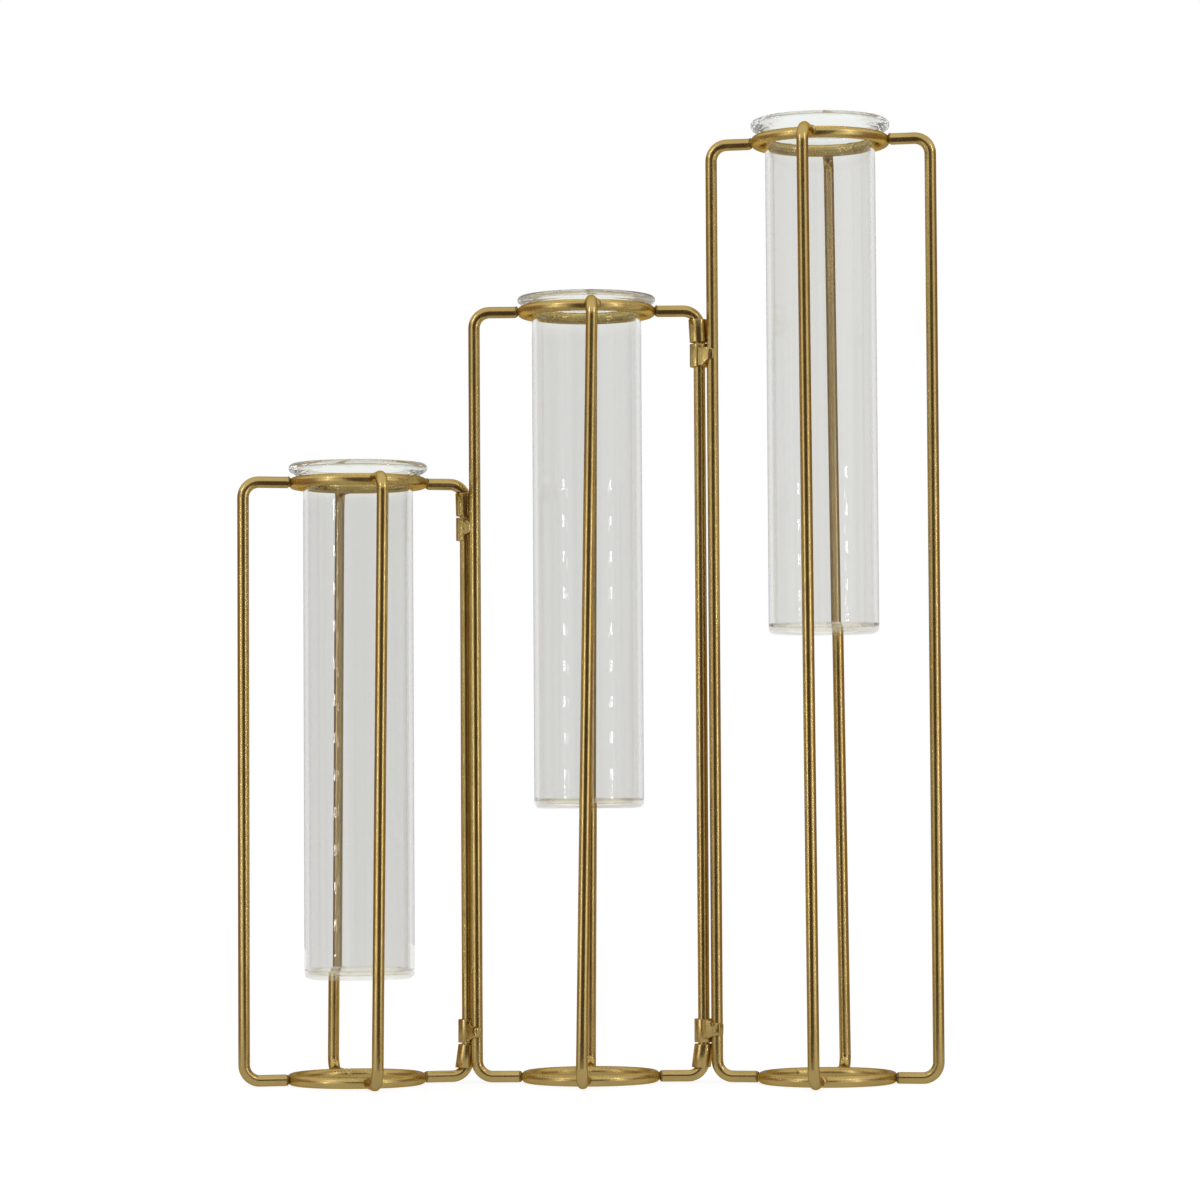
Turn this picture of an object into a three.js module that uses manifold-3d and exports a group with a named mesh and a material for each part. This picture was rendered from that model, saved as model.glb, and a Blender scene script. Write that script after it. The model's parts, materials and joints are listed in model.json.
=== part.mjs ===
// Folding row of three bent-wire stands, each holding a lipped glass tube by its rim.
// The right leg of one stand is the hinge pin that the next stand's knuckle sleeves turn on.
// Millimetres, +Z up, front of the row towards -Y, origin on the table at the middle of the footprint.

import * as THREE from "three";
import { mergeVertices } from "three/addons/utils/BufferGeometryUtils.js";
import Module from "manifold-3d";

const wasm = await Module();
wasm.setup();

// Wire that every stand is bent from
const WIRE_DIAMETER = 4;
const BEND_RADIUS = 5.5; // to the centre line of the wire
const WELD_GAP = 0.3; // between two pieces that a weld joins

// Glass tube
const TUBE_DIAMETER = 38;
const TUBE_LENGTH = 177.8; // overall, with the lip
const TUBE_WALL = 1.6;
const TUBE_FLOOR = 2.4; // thickness of the closed end
const TUBE_CORNER_RADIUS = 2; // outer edge of the closed end
const LIP_OVERHANG = 5; // lip beyond the side of the tube
const SHORT_LIP_BEAD = 3.2; // diameter of the lip's hand-rolled edge
const MEDIUM_LIP_BEAD = 2.4;
const TALL_LIP_BEAD = 3.6;
const SHORT_FLARE_ANGLE = 65; // degrees from upright where the flare runs into the bead
const MEDIUM_FLARE_ANGLE = 80;
const TALL_FLARE_ANGLE = 60;
const SEAT_GAP = 0.3; // lip to the ring that it hangs on

// Stands
const SHORT_REACH = 39.2; // stand axis to the centre line of a leg
const MEDIUM_REACH = 39.2;
const TALL_REACH = 38.3;
const RING_CLEARANCE = 1.1; // all round the tube inside a ring
const SHORT_HEIGHT = 209.3; // table to the top of the upper ring
const MEDIUM_HEIGHT = 269;
const TALL_HEIGHT = 326.3;
const SHORT_RING_SHIFT = 1.1; // upper ring and tube off the stand axis, towards the hinge

// Bearings of the hand-set front and back legs at the top and at the foot,
// in degrees counter-clockwise from square to the row
const SHORT_LEG_SET = { front: { top: 2.6, foot: -1.1 }, back: { top: -2.0, foot: 0.9 } };
const MEDIUM_LEG_SET = { front: { top: 3.9, foot: -3.4 }, back: { top: -2.3, foot: 1.3 } };
const TALL_LEG_SET = { front: { top: -0.3, foot: 1.7 }, back: { top: 3.6, foot: -0.8 } };

// Hinges
const SLEEVE_DIAMETER = 6.6; // knuckles and stop collars
const SLEEVE_LENGTH = 8;
const SLEEVE_CHAMFER = 0.3;
const PIN_CLEARANCE = 0.3; // between a sleeve and the wire through it
const HINGE_PLAY = 0.6; // knuckle to stop collar, along the pin
const COLLAR_INSET = 3; // outer end of a collar to the centre line of the arm it backs on to
const COLLAR_LEAN = 0.85; // sideways step of a collar that follows the start of the bend
const WELD_LENGTH = 6.4; // weld between a knuckle and the leg that carries it
const SHORT_FOLD = 15.6; // degrees that the short stand is turned from straight, counter-clockwise
const TALL_FOLD = -10.8;
const SHORT_WELD_BEARING = 52; // degrees that the pin lies behind the line of the row, round the carrying leg
const TALL_WELD_BEARING = 25.2;

// Facets of round pieces
const WIRE_SIDES = 12;
const BEND_STEPS = 4;
const RING_STEPS = 32;
const TUBE_STEPS = 32;
const SLEEVE_STEPS = 16;
const FLARE_STEPS = 4;
const BEAD_STEPS = 5;
const CORNER_STEPS = 3;

// Tolerances of the mesh work
const MERGE_DISTANCE = 1e-4;
const STATION_TOLERANCE = 1e-6;

// Sizes that follow from the ones above
const wireRadius = WIRE_DIAMETER / 2;
const tubeRadius = TUBE_DIAMETER / 2;
const ringRadius = tubeRadius + RING_CLEARANCE + wireRadius; // centre line
const armEnd = ringRadius + wireRadius + WELD_GAP; // stand axis to the cut end of an arm
const sleeveRadius = SLEEVE_DIAMETER / 2;
const hingeOffset = sleeveRadius + WELD_GAP + wireRadius; // pin axis to the carrying leg's axis
const rightAngle = Math.PI / 2;

// Finishes
const GOLD_PAINT = { color: 0xb08d45, roughness: 0.38, metalness: 0.9 };
const GOLD_SLEEVE = { color: 0xa88746, roughness: 0.42, metalness: 0.9 };
const CLEAR_GLASS = { color: 0xe6ebe8, roughness: 0.05, metalness: 0, transparent: true, opacity: 0.35 };

const radians = THREE.MathUtils.degToRad;

function namedMesh(name, geometry, finish) {
  const mesh = new THREE.Mesh(geometry, new THREE.MeshStandardMaterial(finish));
  mesh.name = name;
  return mesh;
}

function solidOf(geometry) {
  const bare = geometry.clone().deleteAttribute("normal").deleteAttribute("uv");
  const merged = mergeVertices(bare, MERGE_DISTANCE);
  return new wasm.Manifold(
    new wasm.Mesh({
      numProp: 3,
      vertProperties: new Float32Array(merged.attributes.position.array),
      triVerts: new Uint32Array(merged.index.array),
    }),
  );
}

function geometryOf(solid) {
  const mesh = solid.getMesh();
  const geometry = new THREE.BufferGeometry();
  geometry.setAttribute("position", new THREE.BufferAttribute(mesh.vertProperties, 3));
  geometry.setIndex(new THREE.BufferAttribute(mesh.triVerts, 1));
  geometry.computeVertexNormals();
  return geometry;
}

// Points on an arc of a profile, from one angle to another.
function arcPoints(centre, radius, from, to, steps) {
  return Array.from({ length: steps + 1 }, (_, i) => {
    const angle = from + ((to - from) * i) / steps;
    return new THREE.Vector2(
      centre.x + radius * Math.cos(angle),
      centre.y + radius * Math.sin(angle),
    );
  });
}

// A regular outline whose flats lie at a radius, with a flat towards +X.
function roundOutline(radius, sides) {
  const corner = radius / Math.cos(Math.PI / sides);
  const half = Math.PI / sides;
  return arcPoints(new THREE.Vector2(), corner, half, 2 * Math.PI - half, sides - 1);
}

// Turns a closed profile of (radius, height) points about the Z axis.
function turned(profile, steps) {
  const closed = [...profile, profile[0].clone()];
  return new THREE.LatheGeometry(closed, steps).rotateX(rightAngle);
}

// Stations round a bend: point, direction along the wire and level direction across it.
function bendStations(before, corner, after, across) {
  const incoming = corner.clone().sub(before).normalize();
  const outgoing = after.clone().sub(corner).normalize();
  const turn = incoming.angleTo(outgoing);
  const setback = BEND_RADIUS * Math.tan(turn / 2);
  const start = corner.clone().addScaledVector(incoming, -setback);
  const inward = outgoing.clone().addScaledVector(incoming, -incoming.dot(outgoing)).normalize();
  return Array.from({ length: BEND_STEPS + 1 }, (_, i) => {
    const [cos, sin] = [Math.cos((turn * i) / BEND_STEPS), Math.sin((turn * i) / BEND_STEPS)];
    const point = start
      .clone()
      .addScaledVector(incoming, BEND_RADIUS * sin)
      .addScaledVector(inward, BEND_RADIUS * (1 - cos));
    const tangent = incoming.clone().multiplyScalar(cos).addScaledVector(inward, sin);
    return { point, tangent, across };
  });
}

// Centre line of a leg: top arm, bend, upright run, bend, bottom arm. Each station keeps the level
// direction across the wire, so that the flats of its section lie level on both arms.
class LegPath extends THREE.Curve {
  constructor(topZ, reach, ringShift, bearings) {
    super();
    const up = new THREE.Vector3(0, 0, 1);
    const at = (radius, bearing, z) =>
      new THREE.Vector3(radius * Math.cos(bearing), radius * Math.sin(bearing), z);
    const topEnd = at(armEnd, bearings.top, topZ).add(new THREE.Vector3(ringShift, 0, 0));
    const topCorner = at(reach, bearings.top, topZ);
    const footCorner = at(reach, bearings.foot, wireRadius);
    const footEnd = at(armEnd, bearings.foot, wireRadius);
    const outward = topCorner.clone().sub(topEnd).normalize();
    const inward = footEnd.clone().sub(footCorner).normalize();
    const topAcross = up.clone().cross(outward);
    const footAcross = inward.clone().cross(up);
    this.stations = [
      { point: topEnd, tangent: outward, across: topAcross },
      ...bendStations(topEnd, topCorner, footCorner, topAcross),
      ...bendStations(topCorner, footCorner, footEnd, footAcross),
      { point: footEnd, tangent: inward, across: footAcross },
    ];
    this.steps = this.stations.length - 1;
  }

  getPoint(t, target = new THREE.Vector3()) {
    const place = t * this.steps;
    const index = Math.min(Math.floor(place + STATION_TOLERANCE), this.steps - 1);
    const [from, to] = [this.stations[index].point, this.stations[index + 1].point];
    return target.lerpVectors(from, to, place - index);
  }

  getUtoTmapping(u) {
    return u;
  }

  computeFrenetFrames() {
    const tangents = this.stations.map(({ tangent }) => tangent);
    const normals = this.stations.map(({ tangent, across }) => across.clone().cross(tangent).normalize());
    const binormals = normals.map((normal, i) => tangents[i].clone().cross(normal));
    return { tangents, normals, binormals };
  }
}

// A wire of a given radius along a leg's centre line.
function legWire(path, radius) {
  const section = new THREE.Shape(roundOutline(radius, WIRE_SIDES));
  return new THREE.ExtrudeGeometry(section, { extrudePath: path, steps: path.steps });
}

// A ring of round wire, flat facets up and down, with its centre line at a height.
function wireRing(height) {
  const corner = wireRadius / Math.cos(Math.PI / WIRE_SIDES);
  const half = Math.PI / WIRE_SIDES;
  const centre = new THREE.Vector2(ringRadius, height);
  return turned(arcPoints(centre, corner, half, 2 * Math.PI - half, WIRE_SIDES - 1), RING_STEPS);
}

// Profile of the tube from the outside of its floor to the inside, with the floor's underside at height 0.
function tubeProfile(lip) {
  const flare = radians(lip.flareAngle);
  const bead = lip.beadDiameter / 2;
  const beadRadius = tubeRadius + LIP_OVERHANG - bead;
  const flareRadius = (beadRadius - tubeRadius + bead * Math.cos(flare)) / (1 - Math.cos(flare));
  const beadHeight = TUBE_LENGTH - bead;
  const flareHeight = beadHeight - (flareRadius + bead) * Math.sin(flare);
  const flareCentre = new THREE.Vector2(tubeRadius + flareRadius, flareHeight);
  const beadCentre = new THREE.Vector2(beadRadius, beadHeight);
  const innerRadius = tubeRadius - TUBE_WALL;
  const innerFlareRadius = flareRadius + TUBE_WALL;
  const cornerCentre = new THREE.Vector2(tubeRadius - TUBE_CORNER_RADIUS, TUBE_CORNER_RADIUS);
  const innerFlare = flare * (1 - bead / flareRadius);
  const corner = arcPoints(cornerCentre, TUBE_CORNER_RADIUS, -rightAngle, 0, CORNER_STEPS);
  const outerFlare = arcPoints(flareCentre, flareRadius, Math.PI, Math.PI - flare, FLARE_STEPS);
  const edge = arcPoints(beadCentre, bead, -flare, Math.PI - flare / 2, BEAD_STEPS);
  const inside = arcPoints(flareCentre, innerFlareRadius, Math.PI - innerFlare, Math.PI, FLARE_STEPS);
  return {
    underLip: [...outerFlare, ...edge],
    points: [
      new THREE.Vector2(0, 0),
      ...corner,
      ...outerFlare,
      ...edge.slice(1),
      ...inside,
      new THREE.Vector2(innerRadius, TUBE_FLOOR),
      new THREE.Vector2(0, TUBE_FLOOR),
    ],
  };
}

// Height of the tube's underside when its lip hangs on a ring whose centre line is at a height.
function hangingHeight(underLip, ringHeight) {
  const reach = wireRadius + SEAT_GAP;
  const drops = underLip
    .filter(({ x }) => Math.abs(x - ringRadius) < reach)
    .map(({ x, y }) => ringHeight + Math.sqrt(reach ** 2 - (x - ringRadius) ** 2) - y);
  return Math.max(...drops);
}

function glassTube(ringHeight, lip) {
  const { underLip, points } = tubeProfile(lip);
  return turned(points, TUBE_STEPS).translate(0, 0, hangingHeight(underLip, ringHeight));
}

// One stand: two rings, four bent legs and the tube that hangs in the upper ring.
function stand(name, height, reach, lip, legSet, ringShift = 0) {
  const topZ = height - wireRadius;
  const group = new THREE.Group();
  const legs = {
    left: { top: Math.PI, foot: Math.PI },
    right: { top: 0, foot: 0 },
    front: { top: radians(legSet.front.top) - rightAngle, foot: radians(legSet.front.foot) - rightAngle },
    back: { top: radians(legSet.back.top) + rightAngle, foot: radians(legSet.back.foot) + rightAngle },
  };
  const topRing = namedMesh(`${name}_top_ring`, wireRing(topZ), GOLD_PAINT);
  const baseRing = namedMesh(`${name}_base_ring`, wireRing(wireRadius), GOLD_PAINT);
  const tube = namedMesh(`${name}_glass_tube`, glassTube(topZ, lip), CLEAR_GLASS);
  topRing.position.x = ringShift;
  tube.position.x = ringShift;
  group.add(topRing, baseRing, tube);
  for (const [side, bearings] of Object.entries(legs)) {
    const path = new LegPath(topZ, reach, ringShift, bearings);
    group.add(namedMesh(`${name}_${side}_leg`, legWire(path, wireRadius), GOLD_PAINT));
  }
  return group;
}

// A round bar with chamfered ends, standing on height 0.
function sleeveBar() {
  const chamfered = sleeveRadius - SLEEVE_CHAMFER;
  return turned(
    [
      new THREE.Vector2(0, 0),
      new THREE.Vector2(chamfered, 0),
      new THREE.Vector2(sleeveRadius, SLEEVE_CHAMFER),
      new THREE.Vector2(sleeveRadius, SLEEVE_LENGTH - SLEEVE_CHAMFER),
      new THREE.Vector2(chamfered, SLEEVE_LENGTH),
      new THREE.Vector2(0, SLEEVE_LENGTH),
    ],
    SLEEVE_STEPS,
  );
}

// A round cutter about a point, longer than any sleeve, that leaves at least a radius free.
function roundCutter(x, y, radius) {
  const outline = new THREE.Shape(roundOutline(radius, SLEEVE_STEPS));
  const depth = 3 * SLEEVE_LENGTH; // runs one sleeve's length past each end
  const bar = new THREE.ExtrudeGeometry(outline, { depth, bevelEnabled: false });
  return solidOf(bar.translate(x, y, -SLEEVE_LENGTH));
}

// A stop collar on the right leg, from the knuckle end to the bend end, cut by the wire that it grips.
function stopCollar(topZ, reach, ringShift, upper) {
  const armZ = upper ? topZ : wireRadius;
  const away = upper ? 1 : -1;
  const knuckleEnd = armZ - away * (COLLAR_INSET + SLEEVE_LENGTH);
  const lean = new THREE.Matrix4().makeShear(0, 0, 0, 0, -COLLAR_LEAN / SLEEVE_LENGTH, 0);
  const bar = sleeveBar().applyMatrix4(lean);
  if (!upper) bar.rotateX(Math.PI);
  bar.translate(reach, 0, knuckleEnd);
  const path = new LegPath(topZ, reach, ringShift, { top: 0, foot: 0 });
  const grip = solidOf(legWire(path, wireRadius + PIN_CLEARANCE));
  return geometryOf(solidOf(bar).subtract(grip));
}

// A knuckle sleeve about the pin, welded to the carrying leg, in the frame of the carrying stand.
function knuckle(reach, weldBearing, floorZ) {
  const pin = pinPlace(reach, weldBearing);
  const leg = new THREE.Vector2(-reach, 0);
  const toLeg = leg.clone().sub(pin).normalize();
  const front = new THREE.Vector2(toLeg.y, -toLeg.x);
  const weld = new THREE.Shape([
    pin,
    pin.clone().addScaledVector(front, sleeveRadius),
    leg.clone().addScaledVector(front, wireRadius),
    leg,
  ]);
  const weldFloor = (SLEEVE_LENGTH - WELD_LENGTH) / 2;
  const web = new THREE.ExtrudeGeometry(weld, { depth: WELD_LENGTH, bevelEnabled: false });
  const sleeve = solidOf(sleeveBar().translate(pin.x, pin.y, 0));
  const made = sleeve
    .add(solidOf(web.translate(0, 0, weldFloor)))
    .subtract(roundCutter(pin.x, pin.y, wireRadius + PIN_CLEARANCE))
    .subtract(roundCutter(leg.x, leg.y, wireRadius + WELD_GAP));
  return geometryOf(made).translate(0, 0, floorZ);
}

// Place of the hinge pin beside the left leg of the stand that carries the knuckles.
function pinPlace(reach, weldBearing) {
  const bearing = radians(weldBearing);
  return new THREE.Vector2(
    -reach - hingeOffset * Math.cos(bearing),
    hingeOffset * Math.sin(bearing),
  );
}

// The four sleeves of one hinge: collars on the pin's stand, knuckles on the stand that carries them.
function addHinge(name, pin, carrier, weldBearing) {
  const { height, reach, ringShift = 0 } = pin;
  const topZ = height - wireRadius;
  const stackLength = COLLAR_INSET + SLEEVE_LENGTH + HINGE_PLAY;
  const sleeves = {
    upper_stop_collar: [pin.stand, stopCollar(topZ, reach, ringShift, true)],
    lower_stop_collar: [pin.stand, stopCollar(topZ, reach, ringShift, false)],
    upper_knuckle: [carrier.stand, knuckle(carrier.reach, weldBearing, topZ - stackLength - SLEEVE_LENGTH)],
    lower_knuckle: [carrier.stand, knuckle(carrier.reach, weldBearing, wireRadius + stackLength)],
  };
  for (const [sleeve, [holder, geometry]] of Object.entries(sleeves)) {
    holder.add(namedMesh(`${name}_${sleeve}`, geometry, GOLD_SLEEVE));
  }
}

// The row at rest, folded gently so that both outer stands come forward of the line.
const shortLip = { beadDiameter: SHORT_LIP_BEAD, flareAngle: SHORT_FLARE_ANGLE };
const mediumLip = { beadDiameter: MEDIUM_LIP_BEAD, flareAngle: MEDIUM_FLARE_ANGLE };
const tallLip = { beadDiameter: TALL_LIP_BEAD, flareAngle: TALL_FLARE_ANGLE };
const shortStand = stand("short", SHORT_HEIGHT, SHORT_REACH, shortLip, SHORT_LEG_SET, SHORT_RING_SHIFT);
const mediumStand = stand("medium", MEDIUM_HEIGHT, MEDIUM_REACH, mediumLip, MEDIUM_LEG_SET);
const tallStand = stand("tall", TALL_HEIGHT, TALL_REACH, tallLip, TALL_LEG_SET);

addHinge(
  "short_medium",
  { stand: shortStand, height: SHORT_HEIGHT, reach: SHORT_REACH, ringShift: SHORT_RING_SHIFT },
  { stand: mediumStand, reach: MEDIUM_REACH },
  SHORT_WELD_BEARING,
);
addHinge(
  "medium_tall",
  { stand: mediumStand, height: MEDIUM_HEIGHT, reach: MEDIUM_REACH },
  { stand: tallStand, reach: TALL_REACH },
  TALL_WELD_BEARING,
);

// The short stand turns about its own right leg, which stands in the medium stand's knuckles.
const shortPin = pinPlace(MEDIUM_REACH, SHORT_WELD_BEARING);
const shortArm = new THREE.Vector2(SHORT_REACH, 0).rotateAround(new THREE.Vector2(), radians(SHORT_FOLD));
shortStand.rotation.z = radians(SHORT_FOLD);
shortStand.position.set(shortPin.x - shortArm.x, shortPin.y - shortArm.y, 0);

// The tall stand turns about the medium stand's right leg.
const tallArm = pinPlace(TALL_REACH, TALL_WELD_BEARING).rotateAround(new THREE.Vector2(), radians(TALL_FOLD));
tallStand.rotation.z = radians(TALL_FOLD);
tallStand.position.set(MEDIUM_REACH - tallArm.x, -tallArm.y, 0);

const row = new THREE.Group();
row.add(shortStand, mediumStand, tallStand);
row.updateMatrixWorld(true);

const footprint = new THREE.Box3().setFromObject(row, true).getCenter(new THREE.Vector3());
row.position.set(-footprint.x, -footprint.y, 0);

const assembly = new THREE.Group();
assembly.name = "folding_tube_vase_row";
assembly.add(row);

export default assembly;
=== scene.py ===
"""Folding row of three bent-wire stands with glass tubes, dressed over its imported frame.

Every wire, ring, weld, sleeve and tube is modelled by its own operator, in metres, where the frame has it.
"""

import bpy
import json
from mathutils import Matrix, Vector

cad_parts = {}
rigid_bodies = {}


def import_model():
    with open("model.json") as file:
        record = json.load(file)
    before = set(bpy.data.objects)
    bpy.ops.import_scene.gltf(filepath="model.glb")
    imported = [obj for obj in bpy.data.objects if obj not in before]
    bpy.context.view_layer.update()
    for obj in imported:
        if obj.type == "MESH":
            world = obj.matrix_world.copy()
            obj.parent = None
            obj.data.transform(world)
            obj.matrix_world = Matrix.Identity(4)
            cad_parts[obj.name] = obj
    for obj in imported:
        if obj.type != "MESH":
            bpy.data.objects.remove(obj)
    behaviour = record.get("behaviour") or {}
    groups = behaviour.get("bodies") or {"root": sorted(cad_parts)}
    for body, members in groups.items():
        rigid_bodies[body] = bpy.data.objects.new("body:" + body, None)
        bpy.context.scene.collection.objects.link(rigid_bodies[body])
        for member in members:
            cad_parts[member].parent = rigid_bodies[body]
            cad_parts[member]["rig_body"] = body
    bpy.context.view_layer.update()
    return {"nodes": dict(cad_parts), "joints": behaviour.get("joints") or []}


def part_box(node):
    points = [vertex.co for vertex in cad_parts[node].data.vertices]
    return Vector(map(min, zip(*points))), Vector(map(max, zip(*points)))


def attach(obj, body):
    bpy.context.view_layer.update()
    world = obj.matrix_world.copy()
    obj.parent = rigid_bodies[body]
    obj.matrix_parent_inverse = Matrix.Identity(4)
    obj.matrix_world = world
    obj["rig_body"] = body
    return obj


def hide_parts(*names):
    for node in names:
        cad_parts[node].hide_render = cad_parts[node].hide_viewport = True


bl_info = {
    "name": "Folding Tube Vase Row",
    "version": (1, 0, 0),
    "blender": (4, 5, 0),
    "location": "3D View > Sidebar > Vase Row",
    "description": "Bends the wires, rolls the rings, sets the welds and blows the tubes of a vase row",
    "category": "Add Mesh",
}

import json
import math

import bmesh
import bpy
from bpy.props import FloatProperty, FloatVectorProperty, IntProperty, PointerProperty
from bpy.types import Operator, Panel, PropertyGroup
from mathutils import Matrix, Vector

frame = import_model()

STANDS = ("short", "medium", "tall")
LEG_BEARINGS = {
    "right": math.radians(0),
    "back": math.radians(90),
    "left": math.radians(180),
    "front": math.radians(270),
}
HINGES = {"short_medium": ("short_fold", "short", "medium"), "medium_tall": ("tall_fold", "medium", "tall")}
UP = Vector((0, 0, 1))
WHITE = (1.0, 1.0, 1.0)

# Fineness of the meshes
WIRE_SIDES = 32
BEND_STEPS = 12
RING_STEPS = 160
SLEEVE_SIDES = 64
SLEEVE_EDGE_STEPS = 3
WELD_SUBDIVISIONS = 4
WELD_SMOOTHING = 2
WELD_EDGE_STEPS = 2
LUMP_DEPTH = 2
TUBE_SIDES = 128
WALL_STEPS = 24
CORNER_STEPS = 10
INNER_CORNER_STEPS = 8
FLARE_STEPS = 16
BEAD_STEPS = 20
CARD_SIDES = 72

# Craters of the hinge welds in millimetres: along, before and above the pin's middle, half width, half height
CRATERS = {
    "short_medium_upper": ((3.6, 2.2, 2.8, 0.9, 0.6),),
    "short_medium_lower": ((7.3, 2.2, 0.3, 0.9, 1.3), (3.4, 2.2, 2.8, 0.9, 1.0), (3.3, 2.2, -3.0, 0.9, 0.8)),
    "medium_tall_lower": ((5.6, 2.9, 2.4, 0.7, 0.8),),
}

# Dishes of a tube's floor, below and inside, as shares of the flat's radius and of the punt
DISH_BELOW = ((0.3, 1.0), (0.6, 0.75), (0.85, 0.3))
DISH_INSIDE = ((0.6, 0.4), (0.3, 0.6))

# Tolerances and tools of the mesh work, in metres and radians
MERGE_DISTANCE = 1e-7
SMOOTH_ANGLE = math.radians(35)
SHARP_ANGLE = math.radians(60)
BORE_TOOL_LENGTH = 0.03


def mm(value):
    """A length in millimetres as metres."""
    return value / 1000


def degrees(*values):
    """Angles in degrees as a tuple of radians."""
    return tuple(math.radians(value) for value in values)


def centre_of(node):
    """Middle of a frame node's box."""
    low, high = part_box(node)
    return (low + high) / 2


def half_height(node):
    """Half the height of a frame node."""
    low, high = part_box(node)
    return (high.z - low.z) / 2


# Kinds of settings

def length_setting(name, description, default):
    """A length, given in millimetres."""
    return FloatProperty(name=name, description=description, unit="LENGTH", default=mm(default))


def length_settings(name, description, *defaults):
    """Lengths that belong together, given in millimetres."""
    return FloatVectorProperty(
        name=name, description=description, unit="LENGTH", size=len(defaults),
        default=tuple(mm(default) for default in defaults),
    )


def angle_settings(name, description, *defaults):
    """Angles that belong together, given in degrees."""
    return FloatVectorProperty(
        name=name, description=description, unit="ROTATION", size=len(defaults), default=degrees(*defaults),
    )


def sleeve_settings(name, description, *defaults):
    """Lengths at the four sleeves of a kind, given in millimetres."""
    return length_settings(name, f"{description}, upper before lower on each hinge", *defaults)


def leg_set_settings(stand, *defaults):
    """Angles of a stand's front and back leg off square, given in degrees."""
    return angle_settings(
        f"{stand} Leg Set", "Front top, front foot, back top and back foot off square", *defaults,
    )


def share_setting(name, description, default):
    """A share between 0 and 1."""
    return FloatProperty(name=name, description=description, min=0, max=1, default=default)


def share_settings(name, description, *defaults):
    """Shares between 0 and 1 that belong together."""
    return FloatVectorProperty(
        name=name, description=description, size=len(defaults), min=0, max=1, default=defaults,
    )


def colour_setting(name, description, *default):
    """A colour, given as red, green and blue."""
    return FloatVectorProperty(
        name=name, description=description, subtype="COLOR", size=3, min=0, max=1, default=default,
    )


def brightness_setting(name, description, default):
    """A brightness, where 1 is white."""
    return FloatProperty(name=name, description=description, min=0, default=default)


class WireSettings(PropertyGroup):
    """Bent wires and rings of the stands."""

    radius: FloatProperty(
        name="Wire Radius", description="Half the wire's diameter", unit="LENGTH",
        default=half_height("medium_base_ring"),
    )
    bend_radius: length_setting("Bend Radius", "Bend of a leg, to its centre line", 5.5)
    reaches: length_settings(
        "Leg Reaches", "Axis to a leg's centre line on the short, medium and tall stand", 39.2, 39.2, 38.3,
    )
    ring_radius: length_setting("Ring Radius", "Ring axis to the ring's centre line", 22.1)
    arm_gap: length_setting("Arm Gap", "Ring to the sawn end of an arm", 0.35)
    end_chamfer: length_setting("End Chamfer", "Broken edge of a sawn end", 0.3)
    seam_depth: length_setting("Seam Depth", "Groove where a ring's ends are butted", 0.22)
    seam_width: length_setting("Seam Width", "Half the groove's width", 0.35)
    arm_step: length_setting("Arm Step", "Longest step of the mesh along an arm", 1.2)
    upright_step: length_setting("Upright Step", "Longest step of the mesh along an upright", 12)
    turns: angle_settings("Stand Turns", "Turn of the short, medium and tall stand", 15.6, 0, -10.8)
    short_set: leg_set_settings("Short", 2.6, -1.1, -2.0, 0.9)
    medium_set: leg_set_settings("Medium", 3.9, -3.4, -2.3, 1.3)
    tall_set: leg_set_settings("Tall", -0.3, 1.7, 3.6, -0.8)
    base_seams: angle_settings(
        "Base Ring Seams", "Bearing of the short, medium and tall base ring's seam", 101, 92, 118,
    )
    top_seams: angle_settings(
        "Top Ring Seams", "Bearing of the short, medium and tall top ring's seam", 64, 128, 52,
    )


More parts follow.
